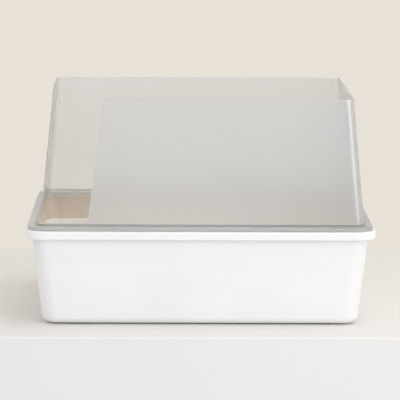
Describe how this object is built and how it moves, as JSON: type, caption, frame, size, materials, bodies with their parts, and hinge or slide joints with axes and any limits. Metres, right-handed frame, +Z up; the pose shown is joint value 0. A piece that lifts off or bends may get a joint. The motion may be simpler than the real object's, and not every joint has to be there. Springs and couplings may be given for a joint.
{
  "type": "cat litter box with hood",
  "caption": "Deep white litter tray with a smoky frosted high hood, open at the top and cut away at one front corner as the way in; the hood lifts off.",
  "frame": {"origin": "on the ground, under the middle of the tray", "axes": "+Z up; +X to the right along the long side, seen from the front; the front, with the cut-away corner at its left end, faces -Y"},
  "size_m": [0.56, 0.42, 0.3632],
  "materials": {
    "tray_plastic": "satin white moulded plastic",
    "hood_plastic": "smoky translucent moulded plastic, finely frosted",
    "foot_rubber": "soft matte non-slip rubber"
  },
  "bodies": {
    "tray": {"tray": "tray_plastic", "foot_front_left": "foot_rubber", "foot_front_right": "foot_rubber", "foot_back_left": "foot_rubber", "foot_back_right": "foot_rubber"},
    "hood": {"hood": "hood_plastic"}
  },
  "joints": [
    {"name": "hood_lift", "type": "slide", "parent": "tray", "child": "hood", "axis": [0, 0, 1], "range_m": [0, 0.25]}
  ]
}
